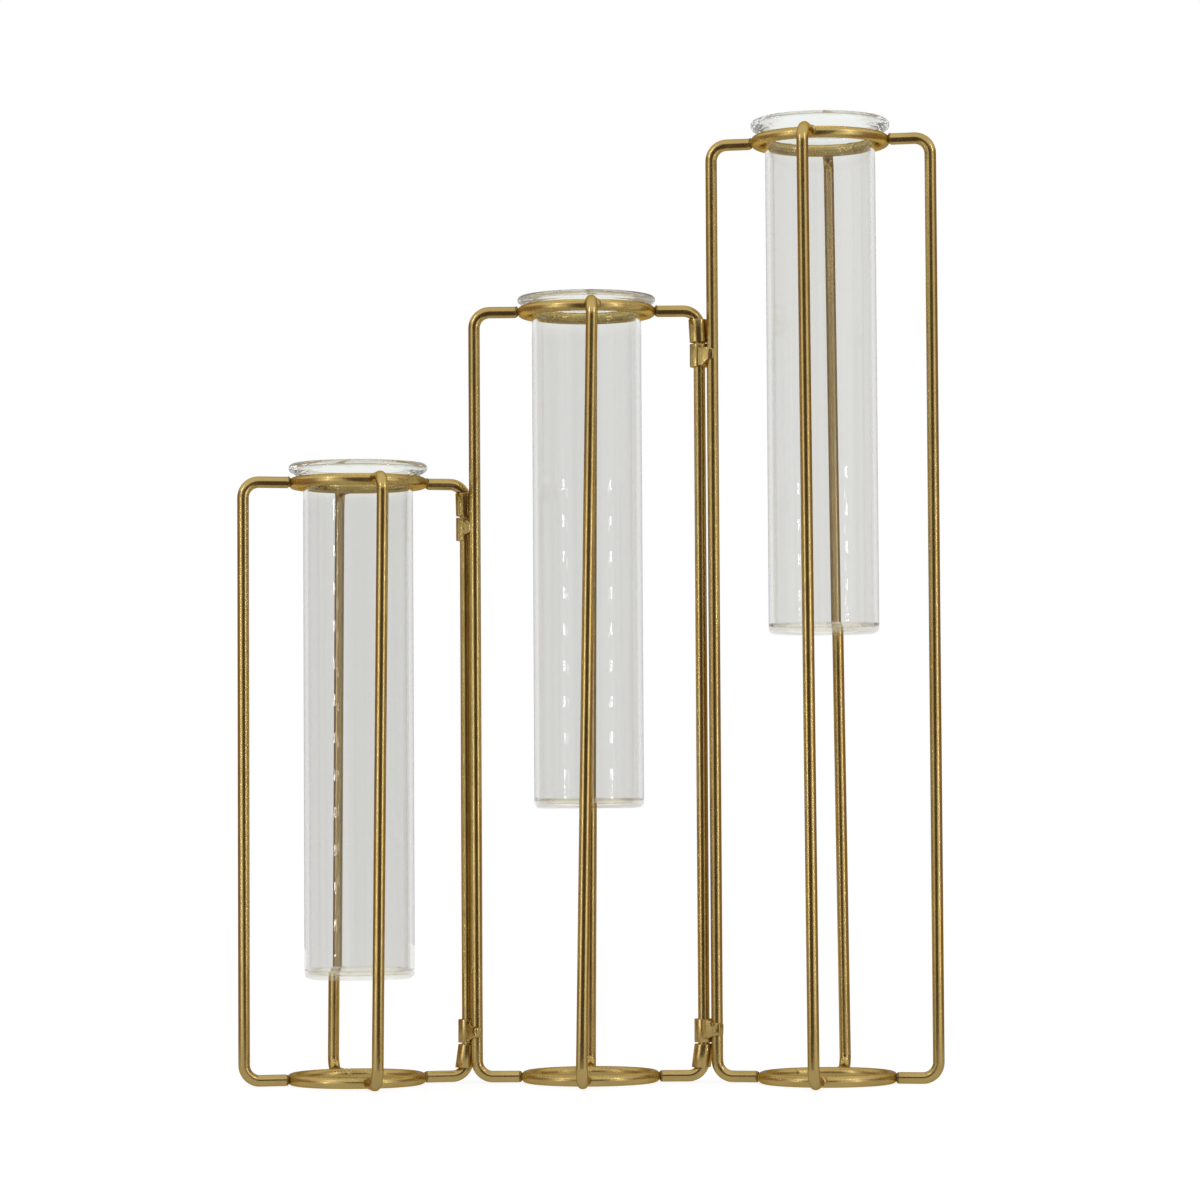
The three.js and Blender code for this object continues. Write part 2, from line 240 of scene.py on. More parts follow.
class WeldSettings(PropertyGroup):
    """Welds between wires and at the hinges."""

    neck: length_settings("Neck", "Half sizes of an arm's weld, along, across and up", 0.9, 1.95, 1.9)
    neck_step: length_setting("Neck Step", "Ring to the middle of a neck", 0.3)
    neck_lift: length_setting("Neck Lift", "Neck above the arm's centre line at an upper ring", 0.2)
    nugget: length_settings("Nugget", "Half sizes of a front arm's weld, along, across and up", 1.6, 2.1, 1.8)
    nugget_lift: length_setting("Nugget Lift", "Nugget above the arm's centre line", 0.4)
    top_steps: length_settings(
        "Top Nugget Steps", "Upper nugget to the side on the short, medium and tall stand", 1.1, 1.7, 0.4,
    )
    base_steps: length_settings(
        "Base Nugget Steps", "Lower nugget to the side on the short, medium and tall stand", 0.2, 0.1, 0.7,
    )
    lump_size: length_setting("Lump Size", "Width of the lumps on a weld", 1.1)
    roughness: length_setting("Weld Lumps", "Height of the lumps on an arm's weld", 0.4)
    hinge_roughness: length_setting("Hinge Weld Lumps", "Height of the lumps on a hinge weld", 0.2)
    hinge_root: length_setting("Hinge Weld Root", "Pin's axis to the start of a hinge weld", 1.2)
    hinge_back: length_setting("Hinge Weld Back", "Hinge weld behind the axes of sleeve and leg", 0.5)
    hinge_edge: length_setting("Hinge Weld Edge", "Rounding of a hinge weld's edges", 0.45)
    hinge_end: share_setting("Hinge Weld End", "Size of a hinge weld's end against that at its leg", 0.75)
    sleeve_depths: sleeve_settings("Sleeve Depths", "Weld's front before the pin's axis", 2.5, 2.5, 3.1, 3.2)
    sleeve_lows: sleeve_settings("Sleeve Lows", "Foot of a weld at its sleeve", -2.0, -3.8, -3.8, -2.8)
    sleeve_tops: sleeve_settings("Sleeve Tops", "Top of a weld at its sleeve", 3.0, 3.8, 2.7, 3.8)
    leg_depths: sleeve_settings("Leg Depths", "Weld's front before the leg's axis", 2.1, 2.9, 2.9, 3.1)
    leg_lows: sleeve_settings("Leg Lows", "Foot of a weld at its leg", -1.0, -2.6, -1.8, -1.8)
    leg_tops: sleeve_settings("Leg Tops", "Top of a weld at its leg", 2.2, 1.9, 2.6, 3.4)
    leg_laps: sleeve_settings("Leg Laps", "Reach of a weld past its leg's axis", 0.3, 2.8, 1.7, 2.6)
    heat_reach: length_setting("Heat Reach", "Worn and greyed paint round a weld", 7)


class HingeSettings(PropertyGroup):
    """Sleeves of the two hinges."""

    radius: length_setting("Sleeve Radius", "Half a sleeve's outer diameter", 3.3)
    bore: length_setting("Bore Radius", "Half a sleeve's bore", 2.3)
    chamfer: length_setting("Sleeve Chamfer", "Rounding of a sleeve's edges", 0.15)
    leans: sleeve_settings("Collar Leans", "Sideways step of a collar towards its arm", 0.2, 1.1, 0.4, 1.0)


class GlassSettings(PropertyGroup):
    """Hanging glass tubes."""

    radius: length_setting("Tube Radius", "Half the tube's diameter", 19)
    wall: length_setting("Wall", "Thickness of the wall", 1.6)
    floor: length_setting("Floor", "Thickness of the closed end", 1.5)
    punt: length_setting("Punt", "Dish under the closed end", 0.5)
    corner: length_setting("Corner", "Radius round the closed end", 2)
    inner_corner: length_setting("Inner Corner", "Radius round the floor inside", 0.9)
    overhang: length_setting("Lip Overhang", "Lip beyond the side of the tube", 5)
    beads: length_settings(
        "Bead Radii", "Radius of the short, medium and tall lip's rolled edge", 1.6, 1.2, 1.8,
    )
    flares: angle_settings(
        "Flare Angles", "Slope of the short, medium and tall flare where it meets the bead", 65, 80, 60,
    )


class FinishSettings(PropertyGroup):
    """Colours of the finishes."""

    gold: colour_setting("Gold", "Gold paint where it is thick", 0.58, 0.425, 0.16)
    bronze: colour_setting("Bronze", "Gold paint where it is thin or old", 0.5, 0.36, 0.13)
    edge: colour_setting("Edge", "Gold paint seen at a glancing angle", 0.62, 0.45, 0.25)
    # Painted shade: the pinholes take this dark gold where shade falls in them.
    pit_shade: colour_setting("Pit", "Pinholes in the paint", 0.06, 0.035, 0.012)
    scale: colour_setting("Weld Scale", "Grey scale and spatter on the welds", 0.42, 0.35, 0.26)
    wire_gloss: share_settings("Wire Gloss", "Least and most roughness of the wires and sleeves", 0.19, 0.26)
    ring_gloss: share_settings("Ring Gloss", "Least and most roughness of the rings and welds", 0.25, 0.33)
    grains: share_settings("Grains", "Strength of the relief on the wires and on the rings", 0.06, 0.03)
    heats: share_settings("Heats", "Heat of the welds, the crevices and the hinge welds", 0.85, 0.6, 0.5)
    # Painted shade: the crevice paint is the gold at this share of its brightness.
    crevice: share_setting("Crevice", "Share of the gold's brightness in a crevice", 0.42)
    relief: length_setting("Relief", "Height of the relief in the paint", 0.12)
    # Painted shade: these greys stand for the dim backdrop seen through each tube, not for the glass's own
    # colour.
    backdrop_shades: share_settings("Glass Tints", "Clearness of the short, medium and tall tube", 0.803, 0.82, 0.84)
    draw_lines: share_setting("Draw Lines", "Contrast of the draw lines in the glass", 0.015)
    cast: colour_setting("Glass Cast", "Colour cast of the glass", 1.0, 1.0, 0.985)
    # The closed end's dark colour, at its low presence, gives it the same painted shade as the body.
    base_glass: colour_setting("Base Glass", "Colour of the closed end", 0.5, 0.45, 0.25)
    flare_glass: colour_setting("Flare Glass", "Colour of the flare", 0.87, 0.885, 0.86)
    bead_glass: colour_setting("Bead Glass", "Colour of the lip's bead", 0.85, 0.88, 0.84)
    base_ramp: length_settings("Base Ramp", "Height over which the base turns into the body", 2.4, 3.6)
    flare_ramp: length_settings("Flare Ramp", "Depth over which the body turns into the flare", 13, 9.5)
    bead_ramp: FloatVectorProperty(
        name="Bead Ramp", description="Depth, in bead radii, over which the flare turns into the bead",
        size=2, default=(2.0, 1.6),
    )
    bending: FloatVectorProperty(
        name="Glass Bending", description="Refraction of the closed end, the body, the flare and the bead",
        size=4, min=1, max=2, default=(1.4, 1.48, 1.2, 1.45),
    )
    presence: share_settings(
        "Glass Presence", "Opacity of the closed end, the body, the flare and the bead", 0.25, 1.0, 1.0, 0.8,
    )
    gleam: share_setting("Glass Gleam", "Strength of reflections seen straight on", 0.6)


class StageSettings(PropertyGroup):
    """Camera, floor and studio light."""

    camera_place: FloatVectorProperty(
        name="Camera Place", description="Where the camera stands", subtype="TRANSLATION", unit="LENGTH",
        size=3, default=(mm(27.57), mm(-1428.69), mm(103.34)),
    )
    camera_turns: angle_settings("Camera Turns", "Yaw, upward pitch and roll", 0.952, 2.526, -0.336)
    lens: FloatProperty(name="Lens", description="Focal length", unit="CAMERA", default=124.02)
    floor_size: length_setting("Floor Size", "Side of the floor", 12000)
    floor_glow: brightness_setting("Floor Glow", "Share of white that the floor shows by itself", 0.82)
    floor_colour: share_setting("Floor Colour", "Paleness of the floor's matt share", 0.3)
    fill: brightness_setting("Fill", "Strength of the world on matt surfaces", 0.6)
    soft_box: FloatProperty(
        name="Soft Box", description="Power of the overhead lamp", unit="POWER", default=4,
    )
    soft_box_size: length_setting("Soft Box Size", "Side of the overhead lamp", 1200)
    soft_box_height: length_setting("Soft Box Height", "Floor to the overhead lamp", 1800)
    flag_colour: colour_setting("Flag Colour", "Warm colour of the flags", 1.0, 0.7, 0.5)
    front: brightness_setting("Front Flag", "Brightness of the flags in front", 0.085)
    side: brightness_setting("Side Flags", "Brightness of the flags at the sides", 0.32)
    rear: brightness_setting("Back Cards", "Brightness of the cards behind", 0.5)
    grey: brightness_setting("Side Cards", "Brightness of the cards at the sides", 0.8)
    flag_bearings: angle_settings(
        "Flag Bearings", "Front to the end of front flag, side card, side flag, back card", 30, 70, 125, 180,
    )
    flag_radii: length_settings("Flag Radii", "Foot and top circle of the flags", 250, 1900)
    floor_flag_radii: length_settings("Floor Flag Radii", "Inner and outer circle of the floor flag", 90, 400)
    floor_flag_rise: length_setting("Floor Flag Rise", "Slope of the floor flag", 1)
    card_radii: length_settings("Card Radii", "Foot and top circle of the upright cards", 1200, 1500)
    flag_lift: length_setting("Flag Lift", "Floor to the foot of a flag or card", 0.5)
    floor_card: brightness_setting("Floor Card", "Brightness of the floor in reflections", 0.62)
    floor_card_radius: length_setting("Floor Card Radius", "Reach of the dimmer floor round the row", 400)
    floor_card_lift: length_setting("Floor Card Lift", "Floor to the card on it", 0.2)
    ceiling: brightness_setting("Ceiling", "Brightness of the card overhead", 0.9)
    ceiling_radius: length_setting("Ceiling Radius", "Reach of the card overhead", 2000)
    ceiling_height: length_setting("Ceiling Height", "Floor to the card overhead", 1000)
    ladder: brightness_setting("Ladder", "Brightness of the ladder lamps", 30)
    ladder_bearing: FloatProperty(
        name="Ladder Bearing", description="Front to a ladder and its strip, to either side", unit="ROTATION",
        default=math.radians(51),
    )
    ladder_distance: length_setting("Ladder Distance", "Row to a ladder and its strip", 900)
    ladder_foot: length_setting("Ladder Foot", "Floor to the middle of the lowest ladder lamp", 7)
    lamp_size: length_settings("Lamp Size", "Width and height of a ladder lamp", 35, 6)
    lamp_step: length_setting("Lamp Step", "Ladder lamp to the next one up", 20.2)
    lamp_count: IntProperty(name="Lamp Count", description="Lamps on a ladder", min=1, default=14)
    strip: brightness_setting("Strip", "Brightness of the strip lamps", 14)
    strip_size: length_settings("Strip Size", "Width and height of a strip lamp", 40, 400)
    strip_height: length_setting("Strip Height", "Floor to the middle of a strip lamp", 740)


class VaseRowSettings(PropertyGroup):
    """All settings of the row."""

    wire: PointerProperty(type=WireSettings)
    weld: PointerProperty(type=WeldSettings)
    hinge: PointerProperty(type=HingeSettings)
    glass: PointerProperty(type=GlassSettings)
    finish: PointerProperty(type=FinishSettings)
    stage: PointerProperty(type=StageSettings)


def settings():
    """The row's settings in this scene."""
    return bpy.context.scene.vase_row


# Hand tools

def deselect():
    """Nothing is selected, in object mode."""
    if bpy.context.mode != "OBJECT":
        bpy.ops.object.mode_set(mode="OBJECT")
    bpy.ops.object.select_all(action="DESELECT")


def fix_place():
    """The active piece's place, turn and scale go into its mesh."""
    bpy.ops.object.transform_apply(location=True, rotation=True, scale=True)


def settle():
    """The new primitive's place is fixed, and it opens for editing with all of it selected."""
    fix_place()
    bpy.ops.object.mode_set(mode="EDIT")
    bpy.ops.mesh.select_all(action="SELECT")


def facing(direction):
    """Turn that points a shape's Z axis along a direction."""
    return direction.to_track_quat("Z", "Y").to_euler()


def start_disc(sides, radius, place, turn=(0, 0, 0)):
    """Lays a round face, open for editing, from which a piece is drawn on."""
    deselect()
    bpy.ops.mesh.primitive_circle_add(
        vertices=sides, radius=radius, fill_type="NGON", location=place, rotation=turn,
    )
    settle()


def select(kind, test):
    """Selects the vertices, edges or faces that pass a test."""
    bpy.ops.mesh.select_mode(type=kind)
    bpy.ops.mesh.select_all(action="DESELECT")
    mesh = bpy.context.edit_object.data
    shape = bmesh.from_edit_mesh(mesh)
    for item in {"VERT": shape.verts, "EDGE": shape.edges, "FACE": shape.faces}[kind]:
        if test(item):
            item.select_set(True)
    shape.select_flush_mode()
    bmesh.update_edit_mesh(mesh)


def draw_on(offset):
    """Extrudes what is selected along an offset."""
    bpy.ops.mesh.extrude_region_move(TRANSFORM_OT_translate={"value": offset})


def scale_about(point, factors):
    """Scales what is selected about a point."""
    bpy.ops.transform.resize(value=factors, center_override=point)


def spin_on(centre, axis, angle, steps):
    """Spins the selected face about an axis, counter-clockwise seen against the axis."""
    bpy.ops.mesh.spin(steps=steps, angle=-angle, center=centre, axis=axis)


def apply_modifier(kind, **values):
    """Adds a modifier to the active piece, sets it and applies it."""
    bpy.ops.object.modifier_add(type=kind)
    modifier = bpy.context.object.modifiers[-1]
    for name, value in values.items():
        setattr(modifier, name, value)
    bpy.ops.object.modifier_apply(modifier=modifier.name)


def cut_away(piece):
    """Cuts the active shape out of a piece, which becomes active in its place."""
    cutter = bpy.context.object
    deselect()
    bpy.context.view_layer.objects.active = piece
    piece.select_set(True)
    apply_modifier("BOOLEAN", operation="DIFFERENCE", object=cutter, solver="EXACT")
    bpy.data.objects.remove(cutter)


def close_up():
    """Merges doubles, turns the faces outwards and leaves edit mode."""
    bpy.ops.mesh.select_all(action="SELECT")
    bpy.ops.mesh.remove_doubles(threshold=MERGE_DISTANCE)
    bpy.ops.mesh.normals_make_consistent(inside=False)
    bpy.ops.object.mode_set(mode="OBJECT")


def hand_over(name, body, slot, material, *nodes):
    """Names the active piece, smooths and paints it, and sets it on its body in place of frame nodes."""
    piece = bpy.context.object
    piece.name = name
    piece.data.name = name
    bpy.ops.object.shade_smooth_by_angle(angle=SMOOTH_ANGLE)
    piece.data.materials.clear()
    piece.data.materials.append(material)
    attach(piece, body)
    if nodes:
        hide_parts(*nodes)
    return piece


def carrier(node):
    """Name of the body that a frame node rides on."""
    return frame["nodes"][node]["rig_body"]


def mark_heat(piece, points):
    """Writes how near each point of a piece is to a weld, from 0 to 1."""
    reach = settings().weld.heat_reach
    heat = piece.data.attributes.new("weld_heat", "FLOAT", "POINT")
    for vertex in piece.data.vertices:
        nearest = min((vertex.co - point).length for point in points)
        heat.data[vertex.index].value = max(0.0, 1.0 - nearest / reach)


# Places on the row

def level(bearing):
    """Level direction at a bearing."""
    return Vector((math.cos(bearing), math.sin(bearing), 0))


def turned_along(place, direction):
    """A place with its X axis along a level direction."""
    outward = direction.normalized()
    across = UP.cross(outward)
    return Matrix.Translation(place) @ Matrix((outward, across, UP)).transposed().to_4x4()


def stand_turn(stand):
    """Turn of a stand in the row."""
    return settings().wire.turns[STANDS.index(stand)]


def leg_bearings(stand, side):
    """Bearings of a leg at its top and at its foot."""
    leg_set = getattr(settings().wire, f"{stand}_set")
    offsets = {"front": leg_set[0:2], "back": leg_set[2:4]}.get(side, (0.0, 0.0))
    square = stand_turn(stand) + LEG_BEARINGS[side]
    return square + offsets[0], square + offsets[1]


def ring_place(stand, end):
    """Centre of a stand's top or base ring."""
    return centre_of(f"{stand}_{end}_ring")


def weld_place(stand, side, end):
    """Outermost point of a ring, where a leg's arm is welded on, and the arm's direction."""
    wire = settings().wire
    top, foot = leg_bearings(stand, side)
    outward = level(top if end == "top" else foot)
    return ring_place(stand, end) + outward * (wire.ring_radius + wire.radius), outward


def leg_corners(stand, side, arm_gap):
    """Top end, top corner, foot corner and foot end of a leg's centre line."""
    top_weld, top_out = weld_place(stand, side, "top")
    foot_weld, foot_out = weld_place(stand, side, "base")
    axis = ring_place(stand, "base")
    reach = settings().wire.reaches[STANDS.index(stand)]
    top_corner = axis + top_out * reach + UP * (top_weld.z - axis.z)
    foot_corner = axis + foot_out * reach
    top_end = top_weld + (top_corner - top_weld).normalized() * arm_gap
    foot_end = foot_weld + foot_out * arm_gap
    return top_end, top_corner, foot_corner, foot_end


def foot_corner_place(stand, side):
    """Corner at the foot of a leg's centre line."""
    return leg_corners(stand, side, arm_gap=0.0)[2]


def pin_place(joint):
    """Place of a hinge pin on the floor."""
    row = next(row for row in frame["joints"] if row["name"] == joint)
    return Vector(row["pos_m"])


# Finishes

class NodeDesk:
    """Short ways to add, set and link the nodes of a tree."""

    def __init__(self, tree):
        self.tree = tree

    def join(self, node, inputs):
        """Links or sets a node's inputs."""
        for key, value in inputs.items():
            if isinstance(value, bpy.types.NodeSocket):
                self.tree.links.new(value, node.inputs[key])
            else:
                node.inputs[key].default_value = value

    def add(self, kind, inputs=None, **values):
        """Adds a node and gives its outputs."""
        node = self.tree.nodes.new(kind)
        for key, value in values.items():
            setattr(node, key, value)
        self.join(node, inputs or {})
        return node.outputs

    def noise(self, place, scale, detail, roughness=0.5):
        """Cloudy noise at a place."""
        inputs = {"Vector": place, "Scale": scale, "Detail": detail, "Roughness": roughness}
        return self.add("ShaderNodeTexNoise", inputs)["Fac"]

    def ramp(self, value, low, high, start=0.0, end=1.0):
        """A value taken from the range low to high into the range start to end."""
        inputs = {"Value": value, "From Min": low, "From Max": high, "To Min": start, "To Max": end}
        return self.add("ShaderNodeMapRange", inputs)["Result"]

    def mix(self, kind, factor, first, second):
        """A value or colour between two others."""
        inputs = {"Factor": factor, "A": first, "B": second}
        return self.add("ShaderNodeMix", inputs, data_type=kind)["Result"]

    def reckon(self, operation, *values):
        """The result of a sum on values."""
        return self.add("ShaderNodeMath", dict(enumerate(values)), operation=operation)["Value"]


def new_finish(name):
    """A new material, its shader, its nodes and the place on the piece."""
    material = bpy.data.materials.new(name)
    material.use_nodes = True
    nodes = NodeDesk(material.node_tree)
    place = nodes.add("ShaderNodeTexCoord")["Object"]
    return material, material.node_tree.nodes["Principled BSDF"], nodes, place


def solid_colour(colour):
    """A colour with full alpha."""
    return (*colour, 1.0)


def gold_paint(name, gloss_range, grain, heat=0.0, shade=1.0):
    """Satin gold paint with orange peel, pinholes darkened as painted shade, and grey scale where a weld was
    hot; a shade below 1 darkens all of it as painted shade.
    """
    finish = settings().finish
    material, shader, nodes, place = new_finish(name)
    patches = nodes.noise(place, scale=90.0, detail=4.0, roughness=0.6)
    peel = nodes.noise(place, scale=900.0, detail=2.0)
    grit = nodes.noise(place, scale=1100.0, detail=3.0, roughness=0.7)
    holes = nodes.add("ShaderNodeTexVoronoi", {"Vector": place, "Scale": 420.0})
    nearness = nodes.add("ShaderNodeAttribute", attribute_name="weld_heat")["Fac"]

    # Both tones are multiplied by shade, which below 1 is painted shade.
    thin, thick = (solid_colour([shade * part for part in tone]) for tone in (finish.bronze, finish.gold))
    paint = nodes.mix("RGBA", nodes.ramp(patches, low=0.35, high=0.68), thin, thick)

    warm = nodes.reckon("MAXIMUM", nearness, heat)
    speckle = nodes.reckon("MULTIPLY", warm, grit)
    worn = nodes.ramp(speckle, low=0.32, high=0.62, end=0.6)
    scaled = nodes.mix("RGBA", worn, paint, solid_colour(finish.scale))

    # Pinholes: small sunk dents, coloured dark gold as painted shade in the holes.
    pit_shade = nodes.ramp(holes["Distance"], low=0.04, high=0.09, start=1.0, end=0.0)
    rare = nodes.ramp(holes["Color"], low=0.9, high=0.92)
    pinhole = nodes.reckon("MULTIPLY", pit_shade, rare)
    pitted = nodes.mix("RGBA", pinhole, scaled, solid_colour(finish.pit_shade))

    worn_dullness, speckle_rise, pinhole_drop = 0.3, 0.8, -2.0
    gloss = nodes.ramp(peel, low=0.3, high=0.7, start=gloss_range[0], end=gloss_range[1])
    dull = nodes.reckon("MULTIPLY_ADD", worn, worn_dullness, gloss)
    raised = nodes.reckon("MULTIPLY_ADD", speckle, speckle_rise, peel)
    sunk = nodes.reckon("MULTIPLY_ADD", pinhole, pinhole_drop, raised)
    bump = nodes.add("ShaderNodeBump", {"Height": sunk, "Strength": grain, "Distance": finish.relief})
    nodes.join(shader, {
        "Base Color": pitted,
        "Roughness": dull,
        "Normal": bump["Normal"],
        "Metallic": 1.0,
        "Specular Tint": solid_colour(finish.edge),
    })
    return material


def clear_glass(name, backdrop_shade, bead, low, high):
    """Clear glass with faint draw lines, in zones from the closed end over body and flare to the bead, greyed
    by painted shade of the backdrop seen through it.
    """
    finish = settings().finish
    material, shader, nodes, place = new_finish(name)
    drawn = nodes.add("ShaderNodeMapping", {"Vector": place, "Scale": (160.0, 160.0, 1.2)})["Vector"]
    lines = nodes.ramp(nodes.noise(drawn, scale=1.0, detail=2.0), low=0.3, high=0.7)
    # The body's tones are the backdrop shade, a painted shade, with draw lines either side of it.
    dim, clear = (
        solid_colour([clearness * part for part in finish.cast])
        for clearness in (backdrop_shade - finish.draw_lines, backdrop_shade + finish.draw_lines)
    )
    body = nodes.mix("RGBA", lines, dim, clear)

    height = nodes.add("ShaderNodeSeparateXYZ", {"Vector": place})["Z"]
    rises = (
        nodes.ramp(height, *(low + step for step in finish.base_ramp)),
        nodes.ramp(height, *(high - step for step in finish.flare_ramp)),
        nodes.ramp(height, *(high - step * bead for step in finish.bead_ramp)),
    )

    def by_zone(kind, first, *others):
        """A value that changes from zone to zone up the tube."""
        value = first
        for rise, other in zip(rises, others):
            value = nodes.mix(kind, rise, value, other)
        return value

    colours = (finish.base_glass, finish.flare_glass, finish.bead_glass)
    base, flare, rim = (solid_colour(colour) for colour in colours)
    shader.inputs["IOR"].default_value = finish.bending[1]
    nodes.join(shader, {
        "Base Color": by_zone("RGBA", base, body, flare, rim),
        "IOR": by_zone("FLOAT", *finish.bending),
        "Alpha": by_zone("FLOAT", *finish.presence),
        "Roughness": 0.0,
        "Specular Tint": solid_colour([finish.gleam] * 3),
        "Transmission Weight": 1.0,
    })
    return material


def finish_named(name, maker, *values):
    """A finish made once and then shared."""
    return bpy.data.materials.get(name) or maker(name, *values)


def wire_paint():
    """Paint of the wires and sleeves."""
    finish = settings().finish
    return finish_named("gold_wire_paint", gold_paint, finish.wire_gloss, finish.grains[0])


def ring_paint():
    """Paint of the rings."""
    finish = settings().finish
    return finish_named("gold_ring_paint", gold_paint, finish.ring_gloss, finish.grains[1])


def weld_paint():
    """Paint over the welds."""
    finish = settings().finish
    return finish_named("gold_weld_paint", gold_paint, finish.ring_gloss, finish.grains[0], finish.heats[0])


def crevice_shade_paint():
    """Gold paint darkened as painted shade in the crevices between the arms and the rings, with grey weld
    scale.
    """
    finish = settings().finish
    # The crevice paint's darkness is painted shade of the gap between an arm's end and its ring.
    thin = (finish.ring_gloss, finish.grains[0], finish.heats[1], finish.crevice)
    return finish_named("gold_crevice_paint", gold_paint, *thin)


def hinge_weld_paint():
    """Paint over the ground welds of the hinges."""
    finish = settings().finish
    ground = (finish.wire_gloss, finish.grains[0], finish.heats[2])
    return finish_named("gold_hinge_weld_paint", gold_paint, *ground)


# Wires

class WireBender:
    """Draws a round wire from point to point, with its free end selected."""

    def __init__(self, point, direction, radius, chamfer):
        self.radius = radius
        self.chamfer = chamfer
        self.point = point.copy()
        self.direction = direction.normalized()
        start_disc(WIRE_SIDES, radius - chamfer, point, facing(self.direction))
        if chamfer:
            self.step(chamfer)
            self.scale(radius / (radius - chamfer))

    def step(self, length):
        """Draws the wire straight on."""
        offset = self.direction * length
        draw_on(offset)
        self.point += offset

    def scale(self, factor):
        """Scales the free end."""
        scale_about(self.point, (factor, factor, factor))

    def run(self, length, longest):
        """Draws the wire straight on in steps no longer than a given one."""
        count = max(1, math.ceil(length / longest))
        for _ in range(count):
            self.step(length / count)

    def bend_at(self, corner, target, bend_radius, longest):
        """Runs on to a corner and bends there towards a target."""
        outgoing = (target - corner).normalized()
        turn = self.direction.angle(outgoing)
        setback = bend_radius * math.tan(turn / 2)
        self.run((corner - self.point).length - setback, longest)
        axis = self.direction.cross(outgoing).normalized()
        centre = self.point + axis.cross(self.direction) * bend_radius
        spin_on(centre, axis, turn, BEND_STEPS)
        self.point = corner + outgoing * setback
        self.direction = outgoing

    def end_at(self, point, longest):
        """Runs on to a point and breaks the edge of the sawn end."""
        self.run((point - self.point).length - self.chamfer, longest)
        if self.chamfer:
            self.step(self.chamfer)
            self.scale((self.radius - self.chamfer) / self.radius)
        close_up()


def draw_leg(stand, side, radius, chamfer, arm_gap):
    """Draws one leg's wire and leaves it active."""
    wire = settings().wire
    top_end, top_corner, foot_corner, foot_end = leg_corners(stand, side, arm_gap)
    bender = WireBender(top_end, top_corner - top_end, radius, chamfer)
    bender.bend_at(top_corner, foot_corner, wire.bend_radius, wire.arm_step)
    bender.bend_at(foot_corner, foot_end, wire.bend_radius, wire.upright_step)
    bender.end_at(foot_end, wire.arm_step)


class VASEROW_OT_bend_legs(Operator):
    """Bends the four legs of each stand from one wire each"""

    bl_idname = "vaserow.bend_legs"
    bl_label = "Bend Legs"

    def execute(self, context):
        wire = settings().wire
        for stand in STANDS:
            for side in LEG_BEARINGS:
                node = f"{stand}_{side}_leg"
                draw_leg(stand, side, wire.radius, wire.end_chamfer, wire.arm_gap)
                piece = hand_over(f"{node}_wire", carrier(node), "gold_wire", wire_paint(), node)
                hot = [weld_place(stand, side, end)[0] for end in ("top", "base")]
                if side == "front":
                    hot.append(foot_corner_place(stand, side))
                mark_heat(piece, hot)
        return {"FINISHED"}


class VASEROW_OT_roll_rings(Operator):
    """Rolls the top and base ring of each stand and butts the ends in a seam"""

    bl_idname = "vaserow.roll_rings"
    bl_label = "Roll Rings"

    def roll(self, centre, seam):
        """Rolls one ring round its centre, with its seam at a bearing."""
        wire = settings().wire
        groove = wire.radius - wire.seam_depth
        lip = wire.seam_width / wire.ring_radius
        swell = wire.radius / groove
        start = centre + level(seam) * wire.ring_radius
        start_disc(WIRE_SIDES, groove, start, facing(UP.cross(level(seam))))
        spin_on(centre, UP, lip, 1)
        scale_about(centre + level(seam + lip) * wire.ring_radius, (swell, swell, swell))
        spin_on(centre, UP, 2 * math.pi - 2 * lip, RING_STEPS)
        spin_on(centre, UP, lip, 1)
        scale_about(start, (1 / swell, 1 / swell, 1 / swell))
        select("FACE", lambda face: len(face.verts) == WIRE_SIDES)
        bpy.ops.mesh.delete(type="FACE")
        close_up()

    def execute(self, context):
        wire = settings().wire
        for stand, base_seam, top_seam in zip(STANDS, wire.base_seams, wire.top_seams):
            for end, seam in (("base", base_seam), ("top", top_seam)):
                node = f"{stand}_{end}_ring"
                self.roll(ring_place(stand, end), seam)
                piece = hand_over(f"{node}_wire", carrier(node), "gold_wire", ring_paint(), node)
                mark_heat(piece, [weld_place(stand, side, end)[0] for side in LEG_BEARINGS])
        return {"FINISHED"}


# Welds

def roughen(height):
    """Roughens the active weld with cloudy lumps of a height."""
    texture = bpy.data.textures.get("weld_lumps")
    if texture is None:
        texture = bpy.data.textures.new("weld_lumps", "CLOUDS")
        texture.noise_scale = settings().weld.lump_size
        texture.noise_depth = LUMP_DEPTH
    apply_modifier("DISPLACE", texture=texture, texture_coords="LOCAL", strength=height)


def set_blob(place, outward, half_sizes):
    """Sets a round blob at a place, turned along a direction, and leaves it active."""
    deselect()
    bpy.ops.mesh.primitive_ico_sphere_add(subdivisions=WELD_SUBDIVISIONS, radius=1.0)
    bpy.context.object.matrix_world = turned_along(place, outward) @ Matrix.Diagonal((*half_sizes, 1.0))
    fix_place()


